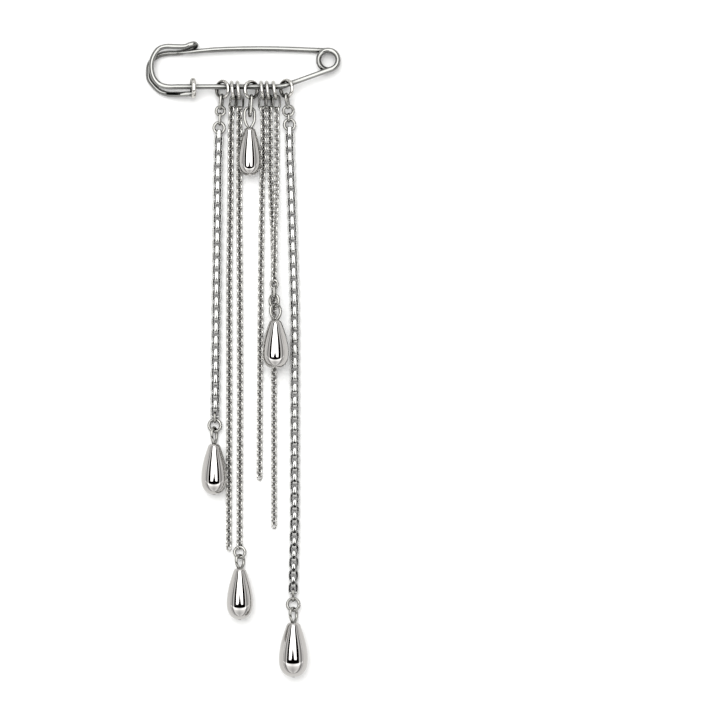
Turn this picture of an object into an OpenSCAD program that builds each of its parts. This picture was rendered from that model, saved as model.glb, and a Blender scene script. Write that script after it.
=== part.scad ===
// Lapel chain: a kilt-pin brooch hung with eight chains and five polished drops.
// It lies on a table as stored. X runs along the pin, +Y is the needle's side,
// the chains run to -Y, and Z is up. The origin is the middle of the footprint,
// at table height.

/* [Pin] */
// Diameter of the pin's wire
wire_d = 1.6; // [1.4:0.1:1.7]
// Distance of the bar from the middle of the brooch
bar_y = 83.6; // [83.5:0.1:83.7]
// X of the point where the bar bends towards the coil
bend_x = 11.8; // [11.5:0.1:12]
// Angle of the inclined arm to the bar
arm_angle = 19.7; // [19:0.1:20]
// Radius of the coil's centre line
coil_r = 3; // [2.8:0.1:3.1]
// Drop of the coil in one turn
coil_pitch = 1.72; // [1.7:0.01:1.8]
// Height of the needle's wire where it leaves the coil
needle_z = 0.85; // [0.85:0.05:0.95]

/* [Collar] */
// Outer diameter of the collar
collar_d = 6.5; // [6.2:0.1:6.6]
// Wall of the collar
collar_wall = 0.6; // [0.5:0.05:0.6]
// Width of the collar's band
collar_w = 1.7; // [1.5:0.1:2]

/* [Jump rings] */
// Outer diameter of a jump ring
jump_d = 6.2; // [6.1:0.1:6.3]
// Wire of a jump ring
jump_wire = 1; // [0.9:0.05:1]

/* [Box chain] */
// Length of a box link along the chain
box_len = 3.05; // [3:0.05:3.1]
// Width of a box link across its bulging rails
box_wide = 3; // [2.9:0.05:3]
// Width of the strip that a box link is bent from
box_strip = 1.45; // [1.3:0.05:1.5]
// Thickness of that strip
box_thick = 0.45; // [0.4:0.05:0.45]
// How far a rail bulges
box_bulge = 0.25; // [0.1:0.05:0.3]
// Number of links in the left box chain
box_count_a = 44; // [44:2:44]
// Number of links in the right box chain
box_count_h = 72; // [72:2:72]

/* [Fine chain] */
// Width of a fine chain's link
fine_wide = 1.9; // [1.8:0.05:1.9]
// Wire of a fine chain's link
fine_wire = 0.42; // [0.38:0.01:0.44]
// Spacing of the links of a fine chain
fine_pitch = 1.35; // [1.3:0.05:1.4]
// Width of a link of the two heavier chains, c and g
cable_wide = 2.15; // [2:0.05:2.15]
// Wire of a link of the two heavier chains
cable_wire = 0.46; // [0.4:0.01:0.46]
// Spacing of the links of the two heavier chains
cable_pitch = 1.4; // [1.35:0.05:1.45]
// Smallest gap between two links that pass through each other
link_gap = 0.13; // [0.1:0.01:0.14]

/* [Drops] */
// Wire of the eye in the top of a drop
eye_wire = 0.7; // [0.6:0.05:0.7]
// Place of the drop's widest ring, as a share of its length from the top
belly_at = 0.68; // [0.66:0.01:0.7]
// Radius of the drop's shoulder at the eye, as a share of its widest radius
shoulder = 0.42; // [0.4:0.01:0.44]

/* [Hidden] */
$fn = 72;

silver = [0.80, 0.81, 0.82];
wire_r = wire_d / 2;
wire_sides = 16;
tube_sides = 8;

// The coil is one spiral about coil_c. The frame's wire holds its first turn and
// the needle's wire the rest, which ends at the top, where the needle leaves.
coil_c = [26.1, 91.9];
coil_from = arm_angle - 90;
coil_split = 300;
coil_break = 6;
coil_to = 450;
coil_step = 12;
bar_z = needle_z + coil_pitch * (coil_to - coil_from) / 360;

// Centre line of the doubled head, from its free end in the collar, round the
// lower U, through the hairpin catch and back round the upper U to the bar.
// Columns: x, y, z
head_path = [
    [-14.9, 81.50, 3.20], [-17.1, 81.40, 3.15], [-20.2, 81.30, 2.50], [-23.2, 81.45, 1.50],
    [-25.7, 82.35, 1.00], [-27.7, 84.20, 0.85], [-29.0, 86.10, 0.82], [-29.2, 88.30, 0.82],
    [-28.9, 90.50, 0.82], [-27.7, 92.30, 0.82], [-25.7, 93.50, 0.82], [-23.2, 94.00, 0.82],
    [-20.5, 94.10, 0.82], [-18.0, 94.60, 0.85], [-16.2, 95.35, 1.00], [-14.9, 96.00, 1.35],
    [-14.6, 96.50, 2.10], [-15.1, 96.80, 2.95], [-16.4, 96.55, 3.30], [-18.0, 95.95, 3.30],
    [-20.8, 95.95, 3.30], [-23.7, 96.00, 3.30], [-26.0, 95.20, 3.30], [-27.5, 93.20, 3.30],
    [-28.2, 90.80, 3.30], [-28.05, 88.0, 3.30], [-27.1, 85.75, 3.30], [-25.4, 84.20, 3.30],
    [-23.0, 83.60, 3.30], [-20.5, 83.60, 3.30]
];
head_smooth = 3;
bend_half = 1.4;

// Centre line of the needle. Columns: x, y, z, radius as a share of the wire's
needle_path = [
    [24.0, 94.88, 0.80, 1.00], [20.0, 95.02, 0.93, 1.00], [15.0, 95.22, 1.15, 1.00],
    [10.0, 95.35, 1.33, 1.00], [5.0, 95.38, 1.50, 1.00], [0.0, 95.32, 1.68, 1.00],
    [-5.0, 95.20, 1.85, 1.00], [-9.0, 95.00, 1.98, 1.00], [-12.0, 94.78, 2.07, 0.92],
    [-14.0, 94.60, 2.12, 0.86], [-16.0, 94.40, 2.17, 0.74], [-18.0, 94.25, 2.20, 0.56],
    [-19.5, 94.15, 2.21, 0.32], [-20.3, 94.10, 2.21, 0.10]
];

collar_c = [-15.4, 83.2, collar_d / 2];
collar_round = 0.2;

// Jump rings. Columns: x, y, z, turn about Y, slant about Z.
// A ring that isn't turned stands edge up on the table, round the bar.
jump_z = jump_d / 2;
jump_rings = [
    [-6.39, 82.76, 3.14, 46, 0], [-3.3, 82.5, jump_z, 0, 7], [-1.5, 82.5, jump_z, 0, 7],
    [2.43, 82.65, 3.24, -48, 0], [5.75, 82.5, jump_z, 0, 7], [7.5, 82.5, jump_z, 0, 7],
    [9.6, 82.5, jump_z, 0, 9], [13.28, 83.02, 3.6, 44.5, 3]
];

// Connectors. Columns: name, x, y, z, length, width, wire, heading, pitch, roll.
// A length equal to the width is a round ring. Roll 90 stands a link on its edge.
connectors = [
    ["link_a1", -6.79, 79.02, 2.66, 5.18, 3.22, 0.70, -5.5, 9.6, 76.6],
    ["ring_a2", -7.04, 76.20, 2.20, 3.62, 3.62, 0.70, -0.1, 9.3, 6.8],
    ["link_a3", -7.21, 73.77, 1.88, 4.19, 2.60, 0.60, -3.5, 5.6, 88.3],
    ["ring_a4", -7.46, 71.07, 1.73, 4.18, 4.18, 0.70, 0, 2.2, 0.5],
    ["link_a5", -8.74, -18.01, 1.52, 3.54, 2.99, 0.60, 0.4, 0.0, 90.2],
    ["ring_a6", -8.79, -20.44, 1.41, 4.64, 4.64, 0.70, 0, -6.1, -3.3],
    ["link_b1", -3.22, 78.96, 1.93, 4.80, 2.85, 0.50, -10.2, 17.1, 40.9],
    ["link_c1", -1.06, 78.95, 2.08, 4.75, 2.71, 0.50, -3.1, 17.9, -1.0],
    ["ring_c2", -1.11, -59.39, 1.62, 4.17, 4.17, 0.65, 0.2, -12.9, -3.7],
    ["link_d1", 2.30, 78.76, 3.17, 5.36, 3.22, 0.70, -4.4, 3.1, -77.2],
    ["link_e1", 5.81, 79.01, 1.94, 4.82, 2.64, 0.50, -2.6, 15.7, 0],
    ["link_f1", 7.86, 79.06, 1.95, 4.88, 2.80, 0.50, 3.3, 15.0, 40.6],
    ["link_g1", 10.16, 78.94, 1.90, 4.80, 2.80, 0.50, 2.0, 15.0, 12.0],
    ["link_g2", 9.49, 22.98, 3.07, 3.21, 2.81, 0.50, 0.1, -1.2, -7.0],
    ["link_g3", 9.48, 20.57, 3.31, 4.11, 2.40, 0.55, -0.1, -3.0, 89.2],
    ["ring_g4", 9.51, 17.87, 3.45, 4.61, 4.00, 0.70, -0.2, -1.4, -30.4],
    ["link_h1", 13.49, 79.24, 3.21, 5.33, 3.26, 0.70, 8.1, 14.3, -102.9],
    ["ring_h2", 13.85, 76.23, 2.43, 4.04, 4.04, 0.70, -0.2, 11.8, 7.8],
    ["link_h3", 13.97, 74.17, 1.95, 3.11, 2.60, 0.60, 0.8, 5.4, 87.9],
    ["ring_h4", 14.21, 72.02, 1.81, 4.22, 4.22, 0.70, -0.1, 3.2, -0.2],
    ["link_h5", 15.29, -72.57, 1.54, 4.28, 2.98, 0.60, 0.2, -2.2, 90.0],
    ["ring_h6", 15.32, -75.45, 1.76, 4.62, 4.62, 0.70, -0.1, -10.3, -4.0]
];

// Routes of the chains. Columns: y, x, z
box_z = 1.52;
route_a = [[69, -7.5, box_z], [58, -7.85, box_z], [40, -8.0, box_z], [18, -8.3, box_z],
    [-10, -8.6, box_z], [-20, -8.7, box_z]];
route_h = [[70, 14.25, box_z], [64, 14.3, box_z], [47, 14.9, box_z], [24, 15.6, box_z],
    [9, 15.9, box_z], [-50, 15.8, box_z], [-72, 15.3, box_z]];
route_b = [[77, -3.6, 1.35], [72, -3.85, 0.98], [50, -4.0, 0.98], [25, -4.35, 0.98],
    [-10, -4.35, 0.98], [-60, -4.5, 0.98]];
route_c = [[77, -1.2, 1.4], [72, -1.25, 1.1], [50, -1.25, 1.1], [25, -1.1, 1.1],
    [-10, -1.0, 1.1], [-60, -1.15, 1.1]];
route_e = [[77, 5.98, 1.35], [72, 6.15, 0.98], [60, 6.15, 0.98], [54, 5.75, 0.98],
    [25, 5.35, 0.98], [-5, 5.1, 0.98], [-40, 4.95, 0.98]];
route_f = [[77, 8.0, 1.35], [72, 8.15, 0.98], [58, 8.2, 0.98], [49, 8.6, 0.98],
    [42, 9.0, 0.98], [30, 9.35, 0.98], [-5, 9.4, 0.98], [-55, 9.45, 0.98]];
route_g = [[77, 10.25, 1.4], [72, 10.3, 1.1], [60, 10.3, 1.1], [52, 10.2, 2.15],
    [46, 10.05, 2.67], [40, 9.75, 2.98], [34, 9.72, 3.05], [23, 9.5, 3.05]];

// Centres of the first and last link of each chain
box_a_ends = [68.96, -16.3];
box_h_ends = [69.92, -70.5];
chain_b_ends = [76.66, -57.9];
chain_c_ends = [76.58, -57.4];
chain_e_ends = [76.66, -36.3];
chain_f_ends = [76.66, -51.2];
chain_g_ends = [76.58, 24.55];

// Drops. Columns: name, x and y of the neck, length, width, eye length,
// eye width, tilt of the eye's end to the table, turn of the eye, height above
// the table that a chain under the drop gives it
drops = [
    ["drop_a", -8.94, -26.12, 15.7, 7.9, 5.49, 4.2, 8.4, 64, 0.02],
    ["drop_c", -1.03, -64.38, 15.8, 8.1, 4.56, 4.2, 9.4, 46, 0.02],
    ["drop_d", 1.97, 70.97, 14.9, 7.1, 6.72, 3.50, 5.0, 20, 1.00],
    ["drop_g", 9.90, 11.88, 15.1, 8.1, 5.35, 4.40, 10.4, 28, 1.97],
    ["drop_h", 15.39, -81.00, 16.8, 8.9, 4.95, 4.2, 9.4, 52, 0.02]
];
neck_steps = 10;
base_steps = 10;
base_power = 2.2;
eye_sink = 0.6;
eye_foot = 0.38;
eye_steps = 16;
eye_sides = 10;
dimple_r = 0.10;
dimple_at = 0.975;

function unit(v) = v / norm(v);

// Points of a smooth curve through the rows of a table, per_span to a span
function smooth_path(rows, per_span) = let (last = len(rows) - 1) [
    for (i = [0:last - 1]) for (k = [0:per_span - 1])
        let (
            t = k / per_span,
            p0 = rows[max(i - 1, 0)], p1 = rows[i],
            p2 = rows[i + 1], p3 = rows[min(i + 2, last)]
        )
        0.5 * (2 * p1 + (p2 - p0) * t + (2 * p0 - 5 * p1 + 4 * p2 - p3) * t * t
            + (3 * p1 - p0 - 3 * p2 + p3) * t * t * t),
    rows[last]
];

// Point of the coil's centre line at an angle
function coil_point(a) = [
    coil_c.x + coil_r * cos(a),
    coil_c.y + coil_r * sin(a),
    needle_z + coil_pitch * (coil_to - a) / 360
];

// Points of the coil between two angles, both included
function coil_points(from, to) = let (n = ceil((to - from) / coil_step)) [
    for (i = [0:n]) coil_point(from + (to - from) * i / n)
];

// Points of the rounded bend between the bar and the arm
function bend_points() = let (
    mid = [bend_x, bar_y, bar_z],
    before = mid - [bend_half, 0, 0],
    after = mid + bend_half * [cos(arm_angle), sin(arm_angle), 0]
) [for (i = [0:6]) let (t = i / 6)
    (1 - t) * (1 - t) * before + 2 * t * (1 - t) * mid + t * t * after];

// Point of a chain's route at y
function route_point(route, y) = [
    lookup(y, [for (r = route) [r[0], r[1]]]),
    y,
    lookup(y, [for (r = route) [r[0], r[2]]])
];

// Radius of a drop, as a share of its widest radius, at a share of its length
function drop_r(t) = t <= belly_at
    ? shoulder + (1 - shoulder) * sin(90 * t / belly_at)
    : pow(max(1 - pow((t - belly_at) / (1 - belly_at), base_power), 0), 1 / base_power);

// Height of a drop's neck at which its belly just clears the table
function neck_z(len, wide, tilt) = max([for (t = [0.3:0.02:1])
    drop_r(t) * wide / 2 * cos(tilt) - t * len * sin(tilt)]);

// Solid that follows a path. radii holds the wire's radius at each point.
module swept(path, radii, sides) {
    last = len(path) - 1;
    along = [for (i = [0:last]) unit(path[min(i + 1, last)] - path[max(i - 1, 0)])];
    first = unit(cross(along[0], [0, 0, 1]));
    across = [for (i = 0, n = first; i <= last;
        i = i + 1, n = i <= last ? unit(n - along[i] * (n * along[i])) : n) n];
    points = [for (i = [0:last]) for (k = [0:sides - 1])
        let (a = 360 * (k + 0.5) / sides)
        path[i] + radii[i] * (cos(a) * across[i] + sin(a) * cross(along[i], across[i]))];
    walls = [for (i = [0:last - 1]) for (k = [0:sides - 1])
        let (m = (k + 1) % sides)
        [i * sides + k, (i + 1) * sides + k, (i + 1) * sides + m, i * sides + m]];
    ends = [
        [for (k = [0:sides - 1]) k],
        [for (k = [sides - 1:-1:0]) last * sides + k]
    ];
    polyhedron(points = points, faces = concat(walls, ends), convexity = 10);
}

// Moves a child that is drawn along Y to its place and turns it
module place(pos, heading = 0, pitch = 0, roll = 0) {
    translate(pos) rotate([0, 0, heading]) rotate([pitch, 0, 0]) rotate([0, roll, 0]) children();
}

// Round ring or oval link in the XY plane, its length along Y
module oval_link(len, wide, wire) {
    r = (wide - wire) / 2;
    reach = (len - wide) / 2;
    if (reach <= 0) rotate_extrude() translate([r, 0]) circle(d = wire);
    else {
        for (end = [0, 180])
            rotate([0, 0, end]) translate([0, reach, 0])
                rotate_extrude(angle = 180) translate([r, 0]) circle(d = wire);
        for (side = [-1, 1])
            translate([side * r, 0, 0]) rotate([90, 0, 0])
                cylinder(d = wire, h = 2 * reach, center = true);
    }
}

// Block with bulging sides and trimmed corners, a box link's outer or inner form
module box_form(len, wide, corner_r, high) {
    half = len / 2;
    side_r = (half * half + box_bulge * box_bulge) / (2 * box_bulge);
    intersection() {
        cube([wide, len, high], center = true);
        translate([side_r - wide / 2, 0, 0]) cylinder(r = side_r, h = high, center = true);
        translate([wide / 2 - side_r, 0, 0]) cylinder(r = side_r, h = high, center = true);
        cylinder(r = corner_r, h = high, center = true);
    }
}

module box_link() {
    corner_r = 1.81;
    difference() {
        box_form(box_len, box_wide, corner_r, box_strip);
        box_form(box_len - 2 * box_thick, box_wide - 2 * box_thick,
            corner_r - box_thick, box_strip + 1);
    }
}

// Chain of box links between two centres. Every second link lies flat.
module box_chain(route, ends, count) {
    for (i = [0:count - 1]) {
        y = ends[0] + (ends[1] - ends[0]) * i / (count - 1);
        slope = route_point(route, y + 1) - route_point(route, y - 1);
        place(route_point(route, y), heading = -atan2(slope.x, slope.y),
            roll = i % 2 == 0 ? 90 : 0) box_link();
    }
}

// One link of a fine chain at y on its route
module fine_link(route, y, pitch, wide, wire, roll) {
    slope = route_point(route, y + 0.6) - route_point(route, y - 0.6);
    place(route_point(route, y), heading = -atan2(slope.x, slope.y),
        pitch = atan2(slope.z, norm([slope.x, slope.y])), roll = roll)
        oval_link(pitch + 2 * wire + link_gap, wide, wire);
}

// Fine chain drawn as its first link, its outer form and its last link
module chain_tube(route, ends, pitch, wide, wire, rolls, steps) {
    half = pitch / 2 + wire + 1.5 * link_gap;
    top = ends[0] - half;
    foot = ends[1] + half;
    path = [for (i = [0:steps]) route_point(route, top + (foot - top) * i / steps)];
    fine_link(route, ends[0], pitch, wide, wire, rolls[0]);
    swept(path, [for (p = path) wide / 2], tube_sides);
    fine_link(route, ends[1], pitch, wide, wire, rolls[1]);
}

// Teardrop with its neck at the origin, its foot at -Y and its eye at +Y
module teardrop(len, wide, eye_len, eye_wide, turn) {
    profile = concat(
        [[0, 0], [shoulder * 0.62, 0.002], [shoulder * 0.9, 0.012]],
        [for (i = [0:neck_steps]) let (t = 0.035 + (belly_at - 0.035) * i / neck_steps)
            [drop_r(t), t]],
        [for (i = [1:base_steps - 1]) let (t = belly_at + (1 - belly_at) * sin(90 * i / base_steps))
            [drop_r(t), t]],
        [[dimple_r, 1], [0, dimple_at]]
    );
    rotate([-90, 0, 0]) rotate_extrude()
        polygon([for (p = profile) [p[0] * wide / 2, -p[1] * len]]);
    path = eye_path(eye_len - eye_wide / 2, (eye_wide - eye_wire) / 2);
    rotate([0, turn, 0]) swept(path, [for (p = path) eye_wire / 2], eye_sides);
}

// Centre line of a drop's wire eye: up one leg, round the end and down the other.
// d is the way from the neck to the middle of the round end, r its radius.
function eye_path(d, r) = let (spread = asin((r - eye_foot) / d)) concat(
    [[eye_foot, -eye_sink, 0]],
    [for (i = [0:eye_steps]) let (a = -spread + (180 + 2 * spread) * i / eye_steps)
        [r * cos(a), d + r * sin(a), 0]],
    [[-eye_foot, -eye_sink, 0]]
);

// Bent wire: doubled head with the catch, bar, arm and first turn of the coil
module pin_frame() {
    path = concat(
        smooth_path(head_path, head_smooth),
        [[-16, bar_y, bar_z], [-8, bar_y, bar_z], [0, bar_y, bar_z]],
        bend_points(),
        coil_points(coil_from, coil_split)
    );
    color(silver) swept(path, [for (p = path) wire_r], wire_sides);
}

// Last turn of the coil and the needle, which tapers to its point
module pin_needle() {
    coil = coil_points(coil_split + coil_break, coil_to);
    path = concat(coil, [for (p = needle_path) [p[0], p[1], p[2]]]);
    radii = concat([for (p = coil) wire_r], [for (p = needle_path) wire_r * p[3]]);
    color(silver) swept(path, radii, wire_sides);
}

// Band with rounded edges, round the bar and the free end of the head's wire
module collar() {
    outer = collar_d / 2;
    inner = outer - collar_wall;
    half = collar_w / 2;
    color(silver) translate(collar_c) rotate([0, 90, 0]) rotate_extrude()
        polygon([
            [inner, -half + collar_round], [inner + collar_round, -half],
            [outer - collar_round, -half], [outer, -half + collar_round],
            [outer, half - collar_round], [outer - collar_round, half],
            [inner + collar_round, half], [inner, half - collar_round]
        ]);
}

// Ring round the bar; the table's turn swings it about Y and its slant about Z
module jump_ring(row) {
    color(silver) translate([row[0], row[1], row[2]]) rotate([0, 0, row[4]])
        rotate([0, row[3] + 90, 0]) oval_link(jump_d, jump_d, jump_wire);
}

module connector(row) {
    color(silver) place([row[1], row[2], row[3]], row[7], row[8], row[9])
        oval_link(row[4], row[5], row[6]);
}

module box_chain_a() color(silver) box_chain(route_a, box_a_ends, box_count_a);

module box_chain_h() color(silver) box_chain(route_h, box_h_ends, box_count_h);

module chain_b() color(silver)
    chain_tube(route_b, chain_b_ends, fine_pitch, fine_wide, fine_wire, [-20, 0], 20);

module chain_c() color(silver)
    chain_tube(route_c, chain_c_ends, cable_pitch, cable_wide, cable_wire, [90, 90], 19);

module chain_e() color(silver)
    chain_tube(route_e, chain_e_ends, fine_pitch, fine_wide, fine_wire, [90, 0], 18);

module chain_f() color(silver)
    chain_tube(route_f, chain_f_ends, fine_pitch, fine_wide, fine_wire, [-42, 0], 19);

// The short cable chain, link by link, each turned a quarter from the last
module chain_g() {
    count = round((chain_g_ends[0] - chain_g_ends[1]) / cable_pitch) + 1;
    color(silver) for (i = [0:count - 1])
        fine_link(route_g, chain_g_ends[0] + (chain_g_ends[1] - chain_g_ends[0]) * i / (count - 1),
            cable_pitch, cable_wide, cable_wire, i % 2 == 0 ? -45 : 45);
}

module drop(row) {
    z = neck_z(row[3], row[4], row[7]) + row[9];
    color(silver) place([row[1], row[2], z], pitch = -row[7])
        teardrop(row[3], row[4], row[5], row[6], row[8]);
}

pin_frame();
pin_needle();
collar();
for (i = [0:len(jump_rings) - 1])
    jump_ring(jump_rings[i]);
for (row = connectors) connector(row);
for (row = drops) drop(row);
box_chain_a();
box_chain_h();
chain_b();
chain_c();
chain_e();
chain_f();
chain_g();
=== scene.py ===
import math

import bpy
from mathutils import Matrix, Vector


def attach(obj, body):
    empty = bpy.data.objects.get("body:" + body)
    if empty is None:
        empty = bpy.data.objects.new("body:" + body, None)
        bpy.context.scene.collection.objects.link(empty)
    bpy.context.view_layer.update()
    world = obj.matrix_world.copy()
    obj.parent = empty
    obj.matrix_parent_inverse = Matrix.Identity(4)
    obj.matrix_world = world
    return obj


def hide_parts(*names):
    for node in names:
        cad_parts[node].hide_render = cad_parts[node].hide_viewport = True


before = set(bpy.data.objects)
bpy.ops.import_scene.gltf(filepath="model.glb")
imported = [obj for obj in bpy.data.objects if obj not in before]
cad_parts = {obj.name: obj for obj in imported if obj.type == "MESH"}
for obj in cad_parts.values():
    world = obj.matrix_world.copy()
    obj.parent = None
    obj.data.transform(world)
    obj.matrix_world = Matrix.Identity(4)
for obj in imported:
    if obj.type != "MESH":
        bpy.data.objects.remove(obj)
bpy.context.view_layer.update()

# Lapel chain: a silver-tone kilt pin with eight chains and five drops, lying on a pale table.
# All tables are in millimetres, as in the part's source; X runs along the pin, +Y is the
# needle's side and Z is up.
mm = 0.001
tiny = 1e-6  # a length or share below this counts as none


# Small helpers
def clearSelection():
    bpy.ops.object.select_all(action="DESELECT")


def linear(hexColour):
    # sRGB hex to the linear colour that the shaders want
    parts = [int(hexColour[i:i + 2], 16) / 255 for i in (1, 3, 5)]
    return [c / 12.92 if c <= 0.04045 else ((c + 0.055) / 1.055) ** 2.4 for c in parts] + [1]


def addNode(tree, kind, settings=None, inputs=None):
    # inputs holds a value, or an output socket to link, for each named or numbered input
    node = tree.nodes.new(kind)
    for key, value in (settings or {}).items():
        setattr(node, key, value)
    for key, value in (inputs or {}).items():
        if isinstance(value, bpy.types.NodeSocket):
            tree.links.new(value, node.inputs[key])
        else:
            node.inputs[key].default_value = value
    return node


def turn(heading, pitch, roll):
    # same order of turns as place() in the part's source
    return (Matrix.Rotation(math.radians(heading), 4, "Z")
            @ Matrix.Rotation(math.radians(pitch), 4, "X")
            @ Matrix.Rotation(math.radians(roll), 4, "Y"))


def settle(piece):
    # puts a finished piece's place and turn into its mesh
    clearSelection()
    piece.select_set(True)
    bpy.context.view_layer.objects.active = piece
    bpy.ops.object.transform_apply(location=True, rotation=True, scale=True)
    return piece


def joinAll(pieces, name):
    clearSelection()
    for piece in pieces:
        piece.select_set(True)
    bpy.context.view_layer.objects.active = pieces[0]
    if len(pieces) > 1:
        bpy.ops.object.join()
    joined = bpy.context.view_layer.objects.active
    joined.name = name
    joined.data.name = name
    return settle(joined)


def copyOf(piece, where):
    twin = piece.copy()
    twin.data = piece.data.copy()
    twin.matrix_world = where
    bpy.context.scene.collection.objects.link(twin)
    return twin


def remove(piece):
    mesh = piece.data
    bpy.data.objects.remove(piece)
    bpy.data.meshes.remove(mesh)


def finishPiece(piece, body, material, node):
    if not piece.data.materials:  # a drop already has the two of its body and its eye
        piece.data.materials.append(material)
    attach(piece, body)
    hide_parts(node)


# Camera and table
# The photo's frame: 720 pixels of 0.3077 mm, seen from straight above, with the
# brooch in its left half.
view = {"width": 221.5, "centreX": 35.85, "centreY": -0.31, "lens": 300, "sensor": 36,
        "clipNear": 100, "clipFar": 10000}

distance = view["width"] * view["lens"] / view["sensor"] * mm
bpy.ops.object.camera_add(
    location=(view["centreX"] * mm, view["centreY"] * mm, distance), rotation=(0, 0, 0))
camera = bpy.context.object
camera.data.lens = view["lens"]
camera.data.sensor_width = view["sensor"]
camera.data.clip_start = view["clipNear"] * mm
camera.data.clip_end = view["clipFar"] * mm
bpy.context.scene.camera = camera
bpy.context.scene.view_settings.view_transform = "Standard"

table = {"size": 6000, "drop": 0.02, "colour": "#FBFBFA", "roughness": 0.6}
bpy.ops.mesh.primitive_plane_add(size=table["size"] * mm, location=(0, 0, -table["drop"] * mm))
tableTop = bpy.context.object
tableTop.name = "tableTop"


def matteCard():
    # white card under the brooch: matte, so it takes soft shadows and shows no reflection
    material = bpy.data.materials.new("matteCard")
    material.use_nodes = True
    shader = material.node_tree.nodes["Principled BSDF"]
    shader.inputs["Base Color"].default_value = linear(table["colour"])
    shader.inputs["Roughness"].default_value = table["roughness"]
    shader.inputs["Specular IOR Level"].default_value = 0
    return material


tableTop.data.materials.append(matteCard())
print("camera and table ready")

# Studio light
# A ceiling of light hangs over the brooch: a long softbox in a black frame, with the paler
# room round it. Only reflections see it; the table is lit by an even pale surround and by
# one wide key light from the needle's side.
studio = {
    "height": 243, "size": 5600, "boxX": -8, "boxGlow": 4.8,
    "boxHalf": 142, "boxNear": -50, "boxFar": 430,
    "frameHalf": 295, "frameNear": -136, "frameFar": 560,
    "notchX": 2, "notchTip": 90, "notchSlope": 0.4,
    "softEdge": 6, "beyond": 900,  # width of a window's edge, and how far past it is drawn
    "fullLevel": 2,  # a colour ramp ends at 1, so it holds levels as shares of this
    # room's brightness by distance from the softbox's middle line, and from front to back
    "across": [(0, 1.0), (250, 1.7), (345, 1.7), (365, 1.0), (450, 0.95), (480, 0.45), (790, 0.45),
               (900, 1.0), (1700, 1.3)],
    "along": [(-900, 1.0), (-600, 0.95), (-393, 0.9), (-312, 1.0), (-230, 1.2), (-205, 1.5),
              (-190, 1.98), (-130, 1.98), (-110, 1.0), (545, 1.0), (570, 1.5), (900, 1.5),
              (960, 0.7), (2500, 0.9)],
    "surround": 0.84, "key": 2.1, "keyAngle": 50, "keyTurn": (-24, -8, 0),
}


def calculate(tree, operation, a, b):
    return addNode(tree, "ShaderNodeMath", {"operation": operation}, {0: a, 1: b}).outputs[0]


def profile(tree, value, rows):
    # brightness along one direction, rows of millimetres and level
    low, high = rows[0][0], rows[-1][0]
    share = addNode(tree, "ShaderNodeMapRange", inputs={
        "Value": value, "From Min": low * mm, "From Max": high * mm})
    ramp = addNode(tree, "ShaderNodeValToRGB", inputs={"Fac": share.outputs[0]})
    stops = ramp.color_ramp.elements
    stops[1].position = 1
    for row in rows[1:-1]:
        stops.new((row[0] - low) / (high - low))
    for stop, (at, level) in zip(stops, rows):
        grey = level / studio["fullLevel"]
        stop.position = (at - low) / (high - low)
        stop.color = (grey, grey, grey, 1)
    return calculate(tree, "MULTIPLY", ramp.outputs["Color"], studio["fullLevel"])


def window(tree, across, along, half, near, far):
    # 1 inside a rectangle, 0 outside, with edges a few millimetres soft
    soft, beyond = studio["softEdge"], studio["beyond"]
    inX = profile(tree, across, [(0, 1), (half - soft, 1), (half, 0), (half + beyond, 0)])
    inY = profile(tree, along, [(near - beyond, 0), (near - soft, 0), (near, 1), (far, 1),
                                (far + soft, 0), (far + beyond, 0)])
    return calculate(tree, "MULTIPLY", inX, inY)


def ceilingLight():
    material = bpy.data.materials.new("ceilingLight")
    material.use_nodes = True
    tree = material.node_tree
    tree.nodes.clear()
    place = addNode(tree, "ShaderNodeTexCoord").outputs["Object"]
    parts = addNode(tree, "ShaderNodeSeparateXYZ", inputs={0: place})
    x, y = parts.outputs[0], parts.outputs[1]
    across = calculate(tree, "ABSOLUTE", calculate(tree, "SUBTRACT", x, studio["boxX"] * mm), 0)
    box = window(tree, across, y, studio["boxHalf"], studio["boxNear"], studio["boxFar"])
    frameMask = window(tree, across, y, studio["frameHalf"], studio["frameNear"],
                       studio["frameFar"])
    # the camera's dark wedge in the near edge of the softbox
    aside = calculate(tree, "ABSOLUTE", calculate(tree, "SUBTRACT", x, studio["notchX"] * mm), 0)
    reach = calculate(tree, "MULTIPLY", calculate(
        tree, "SUBTRACT", studio["notchTip"] * mm, y), studio["notchSlope"])
    clear = calculate(tree, "GREATER_THAN", aside, reach)
    soft = calculate(tree, "MULTIPLY", calculate(tree, "MULTIPLY", box, clear), studio["boxGlow"])
    room = calculate(tree, "MULTIPLY", profile(tree, across, studio["across"]),
                     profile(tree, y, studio["along"]))
    outside = calculate(tree, "SUBTRACT", 1, frameMask)
    level = calculate(tree, "ADD", soft, calculate(tree, "MULTIPLY", room, outside))
    glow = addNode(tree, "ShaderNodeEmission", inputs={"Strength": level})
    addNode(tree, "ShaderNodeOutputMaterial", inputs={"Surface": glow.outputs[0]})
    return material


bpy.ops.mesh.primitive_plane_add(size=studio["size"] * mm)
ceiling = bpy.context.object
ceiling.name = "ceilingLight"
ceiling.location.z = studio["height"] * mm
ceiling.data.materials.append(ceilingLight())
for ray in ("camera", "diffuse", "shadow", "transmission", "volume_scatter"):
    setattr(ceiling, "visible_" + ray, False)

world = bpy.data.worlds.new("paleSurround")
bpy.context.scene.world = world
world.use_nodes = True
world.node_tree.nodes["Background"].inputs["Color"].default_value = (
    studio["surround"], studio["surround"], studio["surround"], 1)

bpy.ops.object.light_add(type="SUN", rotation=[math.radians(a) for a in studio["keyTurn"]])
key = bpy.context.object
key.data.energy = studio["key"]
key.data.angle = math.radians(studio["keyAngle"])
key.visible_glossy = False
print("studio light ready")


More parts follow.
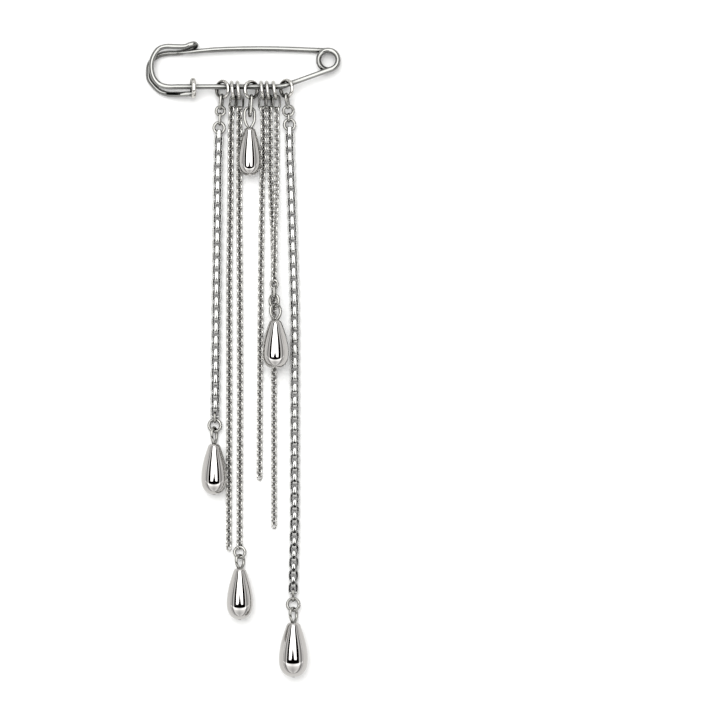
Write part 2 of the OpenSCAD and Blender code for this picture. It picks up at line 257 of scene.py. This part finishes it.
# Metals
plating = {
    "patchDetail": 3, "patchRoughness": 0.55,  # noise of the slow changes in colour
    "markDetail": 4, "markRoughness": 0.6,  # noise of the fine marks
    "markLow": 0.3, "markHigh": 0.7,  # that noise at the glossiest and the dullest spots
    "glossiest": 0.6, "dullest": 1.5,  # times the metal's roughness
    "bump": 0.25,
    # for the painted shade:
    "openTo": 0.95, "paintedShadeRays": 6,  # share of light that counts as open, rays that find it
}


def platedMetal(name, base, shade, roughness, grain, grainDepth, patch, paintedShadeReach=0, paintedShadeLevel=0.4,
                paintedShadeFrom=0.45):
    # Bright nickel plating. base and shade are its lightest and dullest colours, grain and
    # grainDepth the size and depth in mm of its finest marks, and patch the size in mm over
    # which the plating varies. The last three arguments set painted shade, a darkened base
    # colour standing in for ambient occlusion: how near in mm something has to be for a crevice
    # or flank to be painted darker, how dark that gets, and the share of the light at or below
    # which it is that dark. The marks are drawn coarser than real ones, so that they show.
    material = bpy.data.materials.new(name)
    material.use_nodes = True
    tree = material.node_tree
    shader = tree.nodes["Principled BSDF"]
    place = addNode(tree, "ShaderNodeTexCoord").outputs["Object"]
    patches = addNode(tree, "ShaderNodeTexNoise", inputs={
        "Vector": place, "Scale": 1 / (patch * mm), "Detail": plating["patchDetail"],
        "Roughness": plating["patchRoughness"]})
    colour = addNode(tree, "ShaderNodeMix", {"data_type": "RGBA"}, {
        0: patches.outputs["Fac"], 6: linear(base), 7: linear(shade)})
    colour = colour.outputs[2]
    # painted shade: the base colour is darkened in crevices and on flanks where other pieces or
    # the table are near, as if by their shadow
    if paintedShadeReach:
        corner = addNode(tree, "ShaderNodeAmbientOcclusion", {"samples": plating["paintedShadeRays"]}, {
            "Distance": paintedShadeReach * mm}).outputs["AO"]
        depth = addNode(tree, "ShaderNodeMapRange", inputs={
            "Value": corner, "From Min": paintedShadeFrom, "From Max": plating["openTo"],
            "To Min": paintedShadeLevel, "To Max": 1})
        dark = addNode(tree, "ShaderNodeMix", {"data_type": "RGBA", "blend_type": "MULTIPLY"}, {
            0: 1.0, 6: colour, 7: depth.outputs[0]})
        colour = dark.outputs[2]
    tree.links.new(colour, shader.inputs["Base Color"])
    marks = addNode(tree, "ShaderNodeTexNoise", inputs={
        "Vector": place, "Scale": 1 / (grain * mm), "Detail": plating["markDetail"],
        "Roughness": plating["markRoughness"]})
    gloss = addNode(tree, "ShaderNodeMapRange", inputs={
        "Value": marks.outputs["Fac"], "From Min": plating["markLow"],
        "From Max": plating["markHigh"], "To Min": roughness * plating["glossiest"],
        "To Max": roughness * plating["dullest"]})
    tree.links.new(gloss.outputs[0], shader.inputs["Roughness"])
    bump = addNode(tree, "ShaderNodeBump", inputs={
        "Height": marks.outputs["Fac"], "Strength": plating["bump"],
        "Distance": grainDepth * mm})
    tree.links.new(bump.outputs[0], shader.inputs["Normal"])
    shader.inputs["Metallic"].default_value = 1
    return material


# Nickel-plated zinc alloy, mirror polished: sharp reflections, only a faint ripple
polishedNickel = platedMetal("polishedNickel", "#AEACAA", "#A7A4A1", 0.03, 1.6, 0.006, 7)
# The metals below also get painted shade on flanks and in crevices near other pieces or the table.
# Nickel-plated steel wire, drawn and tumbled: bright, with fine drawing marks
platedWire = platedMetal("platedWire", "#868684", "#787875", 0.05, 0.5, 0.008, 4, 5, 0.15)
# Nickel-plated rings and collar, tumbled: slightly softer, with painted shade on flanks and in
# crevices
tumbledRing = platedMetal("tumbledRing", "#C2C0BC", "#B1AFAA", 0.06, 0.4, 0.010, 2.5, 3, 0.1)
# Nickel-plated links and end rings of thinner wire: as the rings, a little duller all over
connectorWire = platedMetal("connectorWire", "#9F9E9A", "#8D8C88", 0.06, 0.4, 0.010, 2.5, 2.2,
                            0.22, 0.5)
# Nickel-plated brass strip, stamped and folded: satin faces that blur what they mirror
stampedStrip = platedMetal("stampedStrip", "#ADADAA", "#9B9B98", 0.14, 0.4, 0.008, 2, 2.5,
                           0.05, 0.5)
# Plated fine wire: many small links, a little greyer than the heavier pieces
fineLinkWire = platedMetal("fineLinkWire", "#CCCAC6", "#B4B3AE", 0.07, 0.3, 0.008, 1.5, 1.0, 0.25)
print("metals ready")


# Bent wire
wireWeld = 0.0005  # points nearer than this are one
wireCrease = 50  # degrees; faces at a flatter angle are shaded smooth


def bentWire(name, path, radius, sides, shares=None):
    # Round wire along points in millimetres; shares thins it point by point
    clearSelection()
    bpy.ops.curve.primitive_bezier_curve_add(location=(0, 0, 0))
    wire = bpy.context.object
    wire.name = name
    curve = wire.data
    curve.splines.clear()
    spline = curve.splines.new("POLY")
    spline.points.add(len(path) - 1)
    for point, place, share in zip(spline.points, path, shares or [1] * len(path)):
        point.co = [c * mm for c in place] + [1]
        point.radius = share
    curve.dimensions = "3D"
    curve.twist_mode = "MINIMUM"
    curve.bevel_depth = radius * mm
    curve.bevel_resolution = sides // 2 - 2  # this gives the wire its number of sides
    curve.use_fill_caps = True
    bpy.ops.object.convert(target="MESH")
    wire = bpy.context.object
    bpy.ops.object.mode_set(mode="EDIT")
    bpy.ops.mesh.select_all(action="SELECT")
    bpy.ops.mesh.remove_doubles(threshold=wireWeld * mm)
    bpy.ops.mesh.normals_make_consistent(inside=False)
    bpy.ops.object.mode_set(mode="OBJECT")
    bpy.ops.object.shade_smooth_by_angle(angle=math.radians(wireCrease))
    return wire


def smoothPath(rows, steps):
    # Points of a smooth curve through the rows, steps of them to a span
    rows = [Vector(row) for row in rows]
    points = []
    for i in range(len(rows) - 1):
        a, b = rows[max(i - 1, 0)], rows[i]
        c, d = rows[i + 1], rows[min(i + 2, len(rows) - 1)]
        for k in range(steps):
            t = k / steps
            points.append(0.5 * (2 * b + (c - a) * t + (2 * a - 5 * b + 4 * c - d) * t ** 2
                                 + (3 * b - a - 3 * c + d) * t ** 3))
    return points + [rows[-1]]


pin = {
    "wire": 1.6, "barY": 83.6, "barX": (-16, -8, 0), "bendX": 11.8, "bendReach": 1.4,
    "armAngle": 19.7, "needleZ": 0.85, "sides": 24, "headSteps": 6, "bendSteps": 10,
    # the coil winds down in degrees; frame and needle meet at coilSplit, coilGap apart
    "coilX": 26.1, "coilY": 91.9, "coilRadius": 3, "coilPitch": 1.72, "coilEnd": 450,
    "coilSplit": 300, "coilGap": 6, "coilStep": 6,
    # doubled head, from its free end in the collar round to the bar: x, y, z
    "head": [
        (-14.9, 81.50, 3.20), (-17.1, 81.40, 3.15), (-20.2, 81.30, 2.50), (-23.2, 81.45, 1.50),
        (-25.7, 82.35, 1.00), (-27.7, 84.20, 0.85), (-29.0, 86.10, 0.82), (-29.2, 88.30, 0.82),
        (-28.9, 90.50, 0.82), (-27.7, 92.30, 0.82), (-25.7, 93.50, 0.82), (-23.2, 94.00, 0.82),
        (-20.5, 94.10, 0.82), (-18.0, 94.60, 0.85), (-16.2, 95.35, 1.00), (-14.9, 96.00, 1.35),
        (-14.6, 96.50, 2.10), (-15.1, 96.80, 2.95), (-16.4, 96.55, 3.30), (-18.0, 95.95, 3.30),
        (-20.8, 95.95, 3.30), (-23.7, 96.00, 3.30), (-26.0, 95.20, 3.30), (-27.5, 93.20, 3.30),
        (-28.2, 90.80, 3.30), (-28.05, 88.0, 3.30), (-27.1, 85.75, 3.30), (-25.4, 84.20, 3.30),
        (-23.0, 83.60, 3.30), (-20.5, 83.60, 3.30)],
    # needle: x, y, z, share of the wire's radius
    "needle": [
        (24.0, 94.88, 0.80, 1.00), (20.0, 95.02, 0.93, 1.00), (15.0, 95.22, 1.15, 1.00),
        (10.0, 95.35, 1.33, 1.00), (5.0, 95.38, 1.50, 1.00), (0.0, 95.32, 1.68, 1.00),
        (-5.0, 95.20, 1.85, 1.00), (-9.0, 95.00, 1.98, 1.00), (-12.0, 94.78, 2.07, 0.92),
        (-14.0, 94.60, 2.12, 0.86), (-16.0, 94.40, 2.17, 0.74), (-18.0, 94.25, 2.20, 0.56),
        (-19.5, 94.15, 2.21, 0.32), (-20.3, 94.10, 2.21, 0.10)],
}


def coilPoint(angle):
    return Vector((
        pin["coilX"] + pin["coilRadius"] * math.cos(math.radians(angle)),
        pin["coilY"] + pin["coilRadius"] * math.sin(math.radians(angle)),
        pin["needleZ"] + pin["coilPitch"] * (pin["coilEnd"] - angle) / 360))


def coilPoints(start, end):
    count = math.ceil((end - start) / pin["coilStep"])
    return [coilPoint(start + (end - start) * i / count) for i in range(count + 1)]


def makePinFrame():
    coilStart = pin["armAngle"] - 90
    barZ = coilPoint(coilStart).z
    bend = Vector((pin["bendX"], pin["barY"], barZ))
    before = bend - Vector((pin["bendReach"], 0, 0))
    angle = math.radians(pin["armAngle"])
    after = bend + pin["bendReach"] * Vector((math.cos(angle), math.sin(angle), 0))
    steps = pin["bendSteps"]
    rounded = [(1 - t) ** 2 * before + 2 * t * (1 - t) * bend + t * t * after
               for t in [i / steps for i in range(steps + 1)]]
    path = smoothPath(pin["head"], pin["headSteps"])
    path += [Vector((x, pin["barY"], barZ)) for x in pin["barX"]]
    path += rounded + coilPoints(coilStart, pin["coilSplit"])
    return bentWire("pinFrame", path, pin["wire"] / 2, pin["sides"])


def makeNeedle():
    coil = coilPoints(pin["coilSplit"] + pin["coilGap"], pin["coilEnd"])
    path = coil + [Vector(row[:3]) for row in pin["needle"]]
    shares = [1] * len(coil) + [row[3] for row in pin["needle"]]
    return bentWire("pinNeedle", path, pin["wire"] / 2, pin["sides"], shares)


finishPiece(makePinFrame(), "brooch", platedWire, "pin_frame")
finishPiece(makeNeedle(), "needle", platedWire, "pin_needle")

collar = {
    "x": -15.4, "y": 83.2, "outer": 6.5, "wall": 0.8, "width": 1.4, "lean": 7, "turned": 2,
    "around": 72, "sides": 20, "flatFrom": 0.75,  # share of the wall that is left rounded
}


def makeCollar():
    # Ring of half-round strip that leans a little on the bar
    clearSelection()
    half = collar["wall"] / 2
    bpy.ops.mesh.primitive_torus_add(
        major_segments=collar["around"], minor_segments=collar["sides"],
        major_radius=(collar["outer"] / 2 - half) * mm, minor_radius=half * mm,
        location=(0, 0, 0))
    band = bpy.context.object
    band.name = "collarBand"
    bpy.ops.object.mode_set(mode="EDIT")
    bpy.ops.transform.resize(value=(1, 1, collar["width"] / collar["wall"]))
    bpy.ops.object.mode_set(mode="OBJECT")
    # its inner face is flat
    flat = (collar["outer"] / 2 - collar["wall"] * collar["flatFrom"]) * mm
    for vertex in band.data.vertices:
        reach = math.hypot(vertex.co.x, vertex.co.y)
        if reach < flat:
            vertex.co.x *= flat / reach
            vertex.co.y *= flat / reach
    bpy.ops.object.shade_smooth_by_angle(angle=math.radians(wireCrease))
    middle = Vector((collar["x"], collar["y"], collar["outer"] / 2)) * mm
    band.matrix_world = Matrix.Translation(middle) @ turn(collar["turned"], 0, 90 + collar["lean"])
    return settle(band)


finishPiece(makeCollar(), "brooch", tumbledRing, "collar")
print("pin ready")

# Rings and links
jumpRings = {
    "outer": 6.2, "wire": 1.15, "cut": 1.6,  # the cut's width is in degrees
    "sides": 16, "steps": 56,
    # x, y, z, turn about Y, slant about Z, place of the cut in degrees
    "rows": [
        (-6.39, 82.76, 3.14, 46, 0, 200), (-3.3, 82.5, 3.1, 0, 7, 160),
        (-1.5, 82.5, 3.1, 0, 7, 215), (2.43, 82.65, 3.24, -48, 0, 150),
        (5.75, 82.5, 3.1, 0, 7, 190), (7.5, 82.5, 3.1, 0, 7, 140),
        (9.6, 82.5, 3.1, 0, 9, 205), (13.28, 83.02, 3.6, 44.5, 3, 165)],
}


def makeJumpRing(name, cutAt):
    # Ring bent from wire, with the hairline cut where its ends meet
    radius = (jumpRings["outer"] - jumpRings["wire"]) / 2
    cut, steps = jumpRings["cut"], jumpRings["steps"]
    path = []
    for i in range(steps + 1):
        a = math.radians(cutAt + cut / 2 + (360 - cut) * i / steps)
        path.append((radius * math.cos(a), radius * math.sin(a), 0))
    return bentWire(name, path, jumpRings["wire"] / 2, jumpRings["sides"])


for i, (x, y, z, about, slant, cutAt) in enumerate(jumpRings["rows"]):
    ring = makeJumpRing("jumpRing%d" % (i + 1), cutAt)
    ring.matrix_world = Matrix.Translation(Vector((x, y, z)) * mm) @ turn(slant, 0, about + 90)
    finishPiece(settle(ring), "brooch", tumbledRing, "jump_ring_%d" % (i + 1))

# Connectors: x, y, z, length, width, wire, heading, pitch, roll
connectors = {
    "link_a1": (-6.79, 79.02, 2.66, 5.18, 3.22, 0.70, -5.5, 9.6, 76.6),
    "ring_a2": (-7.04, 76.20, 2.20, 3.62, 3.62, 0.70, -0.1, 9.3, 6.8),
    "link_a3": (-7.21, 73.77, 1.88, 4.19, 2.60, 0.60, -3.5, 5.6, 88.3),
    "ring_a4": (-7.46, 71.07, 1.73, 4.18, 4.18, 0.70, 0, 2.2, 0.5),
    "link_a5": (-8.74, -18.01, 1.52, 3.54, 2.99, 0.60, 0.4, 0.0, 90.2),
    "ring_a6": (-8.79, -20.44, 1.41, 4.64, 4.64, 0.70, 0, -6.1, -3.3),
    "link_b1": (-3.22, 78.96, 1.93, 4.80, 2.85, 0.50, -10.2, 17.1, 40.9),
    "link_c1": (-1.06, 78.95, 2.08, 4.75, 2.71, 0.50, -3.1, 17.9, -1.0),
    "ring_c2": (-1.11, -59.39, 1.62, 4.17, 4.17, 0.65, 0.2, -12.9, -3.7),
    "link_d1": (2.22, 77.80, 3.10, 7.28, 3.22, 0.70, -4.4, 3.1, -77.2),
    "link_e1": (5.81, 79.01, 1.94, 4.82, 2.64, 0.50, -2.6, 15.7, 0),
    "link_f1": (7.86, 79.06, 1.95, 4.88, 2.80, 0.50, 3.3, 15.0, 40.6),
    "link_g1": (10.16, 78.94, 1.90, 4.80, 2.80, 0.50, 2.0, 15.0, 12.0),
    "link_g2": (9.49, 22.98, 3.07, 3.21, 2.81, 0.50, 0.1, -1.2, -7.0),
    "link_g3": (9.48, 20.57, 3.31, 4.11, 2.40, 0.55, -0.1, -3.0, 89.2),
    "ring_g4": (9.51, 17.87, 3.45, 4.61, 4.00, 0.70, -0.2, -1.4, -30.4),
    "link_h1": (13.49, 79.24, 3.21, 5.33, 3.26, 0.70, 8.1, 14.3, -102.9),
    "ring_h2": (13.85, 76.23, 2.43, 4.04, 4.04, 0.70, -0.2, 11.8, 7.8),
    "link_h3": (13.97, 74.17, 1.95, 3.11, 2.60, 0.60, 0.8, 5.4, 87.9),
    "ring_h4": (14.21, 72.02, 1.81, 4.22, 4.22, 0.70, -0.1, 3.2, -0.2),
    "link_h5": (15.29, -72.57, 1.54, 4.28, 2.98, 0.60, 0.2, -2.2, 90.0),
    "ring_h6": (15.32, -75.45, 1.76, 4.62, 4.62, 0.70, -0.1, -10.3, -4.0),
}
linkWire = {
    "stout": 1.4,  # the wire is heavier than in the source by this factor, inwards
    "cut": 0.09, "sides": 12, "endSteps": 14,
    "least": 0.05,  # shorter straight pieces are left out, so a round ring has none
}


def ovalPath(length, width, wire):
    # Stadium of wire, open by a hairline on the middle of one straight side
    radius, reach = (width - wire) / 2, max(length - width, 0) / 2
    cut, steps, least = linkWire["cut"], linkWire["endSteps"], linkWire["least"]
    path = [(radius, cut / 2, 0)]
    for end, start in ((1, 0), (-1, 180)):
        for i in range(steps + 1):
            a = math.radians(start + 180 * i / steps)
            point = (radius * math.cos(a), radius * math.sin(a) + end * reach, 0)
            if (Vector(point) - Vector(path[-1])).length > least:
                path.append(point)
    path[-1] = (radius, -cut / 2 if reach < least else -reach, 0)
    if reach >= least:
        path.append((radius, -cut / 2, 0))
    return path


for node, (x, y, z, length, width, wire, heading, pitch, roll) in connectors.items():
    wire *= linkWire["stout"]
    link = bentWire(node.replace("_", ""), ovalPath(length, width, wire), wire / 2,
                    linkWire["sides"])
    link.matrix_world = Matrix.Translation(Vector((x, y, z)) * mm) @ turn(heading, pitch, roll)
    finishPiece(settle(link), "brooch", connectorWire, node)
print("rings and links ready")

# Chains
# Routes: y, x, z of a chain's middle line, from the pin down
boxZ = 1.52  # a box chain lies on the table all along
routes = {
    "a": [(69, -7.5, boxZ), (58, -7.85, boxZ), (40, -8.0, boxZ), (18, -8.3, boxZ),
          (-10, -8.6, boxZ), (-20, -8.7, boxZ)],
    "h": [(70, 14.25, boxZ), (64, 14.3, boxZ), (47, 14.9, boxZ), (24, 15.6, boxZ),
          (9, 15.9, boxZ), (-50, 15.8, boxZ), (-72, 15.3, boxZ)],
    "b": [(77, -3.6, 1.35), (72, -3.85, 1.0), (50, -4.0, 1.0), (25, -4.35, 1.0),
          (-10, -4.35, 1.0), (-60, -4.5, 1.0)],
    "c": [(77, -1.2, 1.4), (72, -1.25, 1.1), (50, -1.25, 1.1), (25, -1.1, 1.1),
          (-10, -1.0, 1.1), (-60, -1.15, 1.1)],
    "e": [(77, 5.98, 1.35), (72, 6.15, 1.0), (60, 6.15, 1.0), (54, 5.75, 1.0),
          (25, 5.35, 1.0), (-5, 5.1, 1.0), (-40, 4.95, 1.0)],
    "f": [(77, 8.0, 1.35), (72, 8.15, 1.0), (58, 8.2, 1.0), (49, 8.6, 1.0),
          (42, 9.0, 1.0), (30, 9.35, 1.0), (-5, 9.4, 1.0), (-55, 9.45, 1.0)],
    "g": [(77, 10.25, 1.4), (72, 10.3, 1.1), (60, 10.3, 1.1), (52, 10.2, 2.15),
          (46, 10.05, 2.67), (40, 9.75, 2.98), (34, 9.72, 3.05), (23, 9.5, 3.05)],
}


def routePoint(letter, y):
    rows = routes[letter]
    if y >= rows[0][0]:
        return Vector((rows[0][1], y, rows[0][2]))
    for (y0, x0, z0), (y1, x1, z1) in zip(rows, rows[1:]):
        if y >= y1:
            t = (y0 - y) / (y0 - y1)
            return Vector((x0 + (x1 - x0) * t, y, z0 + (z1 - z0) * t))
    return Vector((rows[-1][1], y, rows[-1][2]))


def linkPlace(letter, y, reach, roll):
    # on the route and in line with it, as measured over the reach to either side
    slope = routePoint(letter, y + reach) - routePoint(letter, y - reach)
    heading = -math.degrees(math.atan2(slope.x, slope.y))
    pitch = math.degrees(math.atan2(slope.z, math.hypot(slope.x, slope.y)))
    return Matrix.Translation(routePoint(letter, y) * mm) @ turn(heading, pitch, roll)


boxChain = {
    "length": 3.5, "width": 3.0, "strip": 1.3, "thick": 0.6,
    # how far the long sides bow out, how far a corner is from the link's middle, radius of
    # the crown across the strip, and width of its broken edges
    "bulge": 0.22, "corner": 2.02, "crown": 1.6, "edge": 0.27,
    "around": 24, "strips": 6, "edgeSteps": 3, "edgeAngle": 60, "crease": 35, "reach": 1,
    # y of the first and last link, number of links
    "runs": {"a": (68.96, -16.3, 44), "h": (69.92, -70.5, 72)},
}


def boxOutline(angle):
    # Distance of a box link's outer edge from its middle, at an angle
    c, s = abs(math.cos(angle)), abs(math.sin(angle))
    halfLength, halfWidth, bulge = boxChain["length"] / 2, boxChain["width"] / 2, boxChain["bulge"]
    sideRadius = (halfLength ** 2 + bulge ** 2) / (2 * bulge)
    shift = sideRadius - halfWidth
    side = -c * shift + math.sqrt((c * shift) ** 2 - shift ** 2 + sideRadius ** 2)
    reaches = [boxChain["corner"], side]
    if s > tiny:
        reaches.append(halfLength / s)
    return min(reaches)


def makeBoxLink():
    # Strip of metal folded round and closed, its edges broken
    clearSelection()
    bpy.ops.mesh.primitive_circle_add(vertices=boxChain["around"], radius=1, fill_type="NOTHING",
                                      location=(0, 0, 0))
    link = bpy.context.object
    bpy.ops.object.mode_set(mode="EDIT")
    bpy.ops.mesh.select_all(action="SELECT")
    bpy.ops.transform.translate(value=(0, 0, -boxChain["strip"] / 2 * mm))
    for _ in range(boxChain["strips"]):
        bpy.ops.mesh.extrude_region_move(
            TRANSFORM_OT_translate={"value": (0, 0, boxChain["strip"] / boxChain["strips"] * mm)})
    bpy.ops.object.mode_set(mode="OBJECT")
    # outline of the folded strip, whose outer face is crowned across its width
    for vertex in link.data.vertices:
        across = vertex.co.z / mm
        crown = boxChain["crown"] - math.sqrt(boxChain["crown"] ** 2 - across ** 2)
        flat = Vector((vertex.co.x, vertex.co.y, 0)).normalized()
        flat *= (boxOutline(math.atan2(flat.y, flat.x)) - crown) * mm
        vertex.co.x, vertex.co.y = flat.x, flat.y
    bpy.ops.object.mode_set(mode="EDIT")
    bpy.ops.mesh.select_all(action="SELECT")
    bpy.ops.mesh.normals_make_consistent(inside=False)
    bpy.ops.object.mode_set(mode="OBJECT")
    wall = link.modifiers.new("wall", "SOLIDIFY")
    wall.thickness = boxChain["thick"] * mm
    wall.offset = -1
    wall.use_even_offset = True
    bpy.ops.object.modifier_apply(modifier="wall")
    edge = link.modifiers.new("edge", "BEVEL")
    edge.width = boxChain["edge"] * mm
    edge.segments = boxChain["edgeSteps"]
    edge.limit_method = "ANGLE"
    edge.angle_limit = math.radians(boxChain["edgeAngle"])
    bpy.ops.object.modifier_apply(modifier="edge")
    bpy.ops.object.shade_smooth_by_angle(angle=math.radians(boxChain["crease"]))
    return link


boxLink = makeBoxLink()
for letter, (start, end, count) in boxChain["runs"].items():
    links = []
    for i in range(count):
        y = start + (end - start) * i / (count - 1)
        roll = 90 if i % 2 == 0 else 0
        links.append(copyOf(boxLink, linkPlace(letter, y, boxChain["reach"], roll)))
    finishPiece(joinAll(links, "boxChain" + letter.upper()), "brooch", stampedStrip,
                "box_chain_" + letter)
remove(boxLink)
print("box chains ready")

fineLink = {"slack": 0.13, "around": 14, "sides": 6, "waist": 0.02, "reach": 0.6}

# Fine chains: y of the first and last link, pitch, width, wire, roll of the first and last
# link, turn from link to link
fineChains = {
    "b": (76.66, -57.9, 1.35, 2.50, 0.56, -45, -45, 90),
    "c": (76.58, -57.4, 1.40, 2.60, 0.58, 45, 45, 90),
    "e": (76.66, -36.3, 1.35, 2.45, 0.53, 45, 45, 90),
    "f": (76.66, -51.2, 1.35, 2.40, 0.50, -45, 45, 90),
    "g": (76.58, 24.55, 1.40, 2.25, 0.54, -45, 45, 90),
}


def makeFineLink(length, width, wire):
    # Torus drawn out to an oval
    clearSelection()
    bpy.ops.mesh.primitive_torus_add(
        major_segments=fineLink["around"], minor_segments=fineLink["sides"],
        major_radius=(width - wire) / 2 * mm, minor_radius=wire / 2 * mm, location=(0, 0, 0))
    link = bpy.context.object
    reach = (length - width) / 2 * mm
    for side in (1, -1):
        for vertex in link.data.vertices:
            vertex.select = vertex.co.y * side > fineLink["waist"] * mm
        bpy.ops.object.mode_set(mode="EDIT")
        bpy.ops.transform.translate(value=(0, side * reach, 0))
        bpy.ops.object.mode_set(mode="OBJECT")
    bpy.ops.object.shade_smooth()
    return link


for letter, (start, end, pitch, width, wire, firstRoll, lastRoll, twist) in fineChains.items():
    template = makeFineLink(pitch + 2 * wire + fineLink["slack"], width, wire)
    count = round((start - end) / pitch) + 1
    # total turn from first to last link: as near to the twist as lets the last link lie as
    # it must; half a turn more or less looks the same
    turns = twist * (count - 1)
    wanted = round((firstRoll + turns - lastRoll) / 180) * 180 + lastRoll - firstRoll
    links = []
    for i in range(count):
        y = start + (end - start) * i / (count - 1)
        roll = firstRoll + wanted * i / (count - 1)
        links.append(copyOf(template, linkPlace(letter, y, fineLink["reach"], roll)))
    finishPiece(joinAll(links, "fineChain" + letter.upper()), "brooch", fineLinkWire,
                "chain_" + letter)
    remove(template)
print("fine chains ready")

# Drops
drops = {
    # x and y of the neck, length, width, eye length, eye width, tilt, turn of the eye, lift,
    # share of the eye's length over which its legs spread
    "rows": {
        "a": (-8.94, -26.12, 15.7, 7.9, 5.49, 4.2, 8.4, 64, 0.02, 0.9),
        "c": (-1.03, -64.38, 15.8, 8.1, 4.56, 4.2, 9.4, 46, 0.02, 0.9),
        "d": (1.97, 70.97, 14.9, 7.1, 6.72, 4.10, 5.0, 20, 1.00, 0.6),
        "g": (9.90, 11.88, 15.1, 8.1, 5.35, 4.40, 10.4, 28, 1.97, 0.9),
        "h": (15.39, -81.00, 16.8, 8.9, 4.95, 4.2, 9.4, 52, 0.02, 0.9)},
    # along the body, as shares of its length: where it is widest, and where its neck begins;
    # shoulder is the neck's radius, as a share of the widest one
    "belly": 0.68, "neckFrom": 0.035, "shoulder": 0.42, "basePower": 2.2,
    # rounded rim of the top: shares of the length and of the shoulder
    "rim": [(0, 0), (0.002, 0.62), (0.005, 0.78), (0.012, 0.9), (0.022, 0.985)],
    # small dimple in the foot: shares of the length and of the widest radius
    "dimple": [(0.998, 0.14), (0.993, 0.11), (0.975, 0.10), (0.972, 0)],
    "neckRings": 18, "baseRings": 18, "segments": 72, "crease": 40,
    # the eye's wire, half the distance between its legs' feet, and how deep they sink in
    "eyeWire": 0.95, "eyeFoot": 0.38, "eyeSink": 0.6,
    "eyeSides": 14, "legSteps": 12, "topSteps": 20,
    "restFrom": 0.3, "restStep": 0.02, "restSteps": 36,  # where the body may touch the table
}


def dropRadius(t):
    # Share of the widest radius at a share of the length
    belly = drops["belly"]
    if t <= belly:
        return drops["shoulder"] + (1 - drops["shoulder"]) * math.sin(math.pi / 2 * t / belly)
    power = drops["basePower"]
    return max(1 - ((t - belly) / (1 - belly)) ** power, 0) ** (1 / power)


def dropProfile():
    # Share of the length and of the widest radius, ring by ring, from the top
    belly, shoulder = drops["belly"], drops["shoulder"]
    neckFrom = drops["neckFrom"]
    rings = [(t, shoulder * share) for t, share in drops["rim"]]
    for i in range(drops["neckRings"] + 1):
        t = neckFrom + (belly - neckFrom) * i / drops["neckRings"]
        rings.append((t, dropRadius(t)))
    for i in range(1, drops["baseRings"]):
        t = belly + (1 - belly) * math.sin(math.pi / 2 * i / drops["baseRings"])
        rings.append((t, dropRadius(t)))
    return rings + drops["dimple"]


def makeDrop(letter):
    x, y, length, width, eyeLength, eyeWidth, tilt, eyeTurn, lift, spread = drops["rows"][letter]
    rings = dropProfile()
    clearSelection()
    bpy.ops.mesh.primitive_uv_sphere_add(
        segments=drops["segments"], ring_count=len(rings) - 1, radius=1, location=(0, 0, 0))
    body = bpy.context.object
    for vertex in body.data.vertices:
        ring = round(math.acos(max(min(vertex.co.z, 1), -1)) / math.pi * (len(rings) - 1))
        t, share = rings[ring]
        around = Vector((vertex.co.x, vertex.co.y))
        if around.length > tiny:
            around.normalize()
        vertex.co = Vector((around.x * share * width / 2, -t * length,
                            around.y * share * width / 2)) * mm
    bpy.ops.object.mode_set(mode="EDIT")
    bpy.ops.mesh.select_all(action="SELECT")
    bpy.ops.mesh.normals_make_consistent(inside=False)
    bpy.ops.object.mode_set(mode="OBJECT")
    bpy.ops.object.shade_smooth_by_angle(angle=math.radians(drops["crease"]))
    # wire eye, whose two legs are soldered into the top
    radius = (eyeWidth - drops["eyeWire"]) / 2
    reach = eyeLength - eyeWidth / 2
    foot = drops["eyeFoot"]
    leg = [(foot, -drops["eyeSink"], 0)]
    steps = drops["legSteps"]
    for i in range(steps + 1):
        share = min(i / steps / spread, 1)
        leg.append((foot + (radius - foot) * math.sin(math.pi / 2 * share), reach * i / steps, 0))
    bends = [math.pi * i / drops["topSteps"] for i in range(1, drops["topSteps"])]
    top = [(radius * math.cos(a), reach + radius * math.sin(a), 0) for a in bends]
    path = leg + top + [(-px, py, pz) for px, py, pz in reversed(leg)]
    eye = bentWire("eye", path, drops["eyeWire"] / 2, drops["eyeSides"])
    eye.matrix_world = turn(0, 0, eyeTurn)
    settle(eye)
    body.data.materials.append(polishedNickel)
    eye.data.materials.append(connectorWire)
    piece = joinAll([body, eye], "drop" + letter.upper())
    # height of the neck's middle when the body's lowest point lies on the table
    slant = math.radians(tilt)
    neckZ = max(dropRadius(t) * width / 2 * math.cos(slant) - t * length * math.sin(slant)
                for t in [drops["restFrom"] + drops["restStep"] * i
                          for i in range(drops["restSteps"])])
    piece.matrix_world = Matrix.Translation(Vector((x, y, neckZ + lift)) * mm) @ turn(0, -tilt, 0)
    return settle(piece)


for letter in drops["rows"]:
    finishPiece(makeDrop(letter), "brooch", polishedNickel, "drop_" + letter)
print("drops ready")
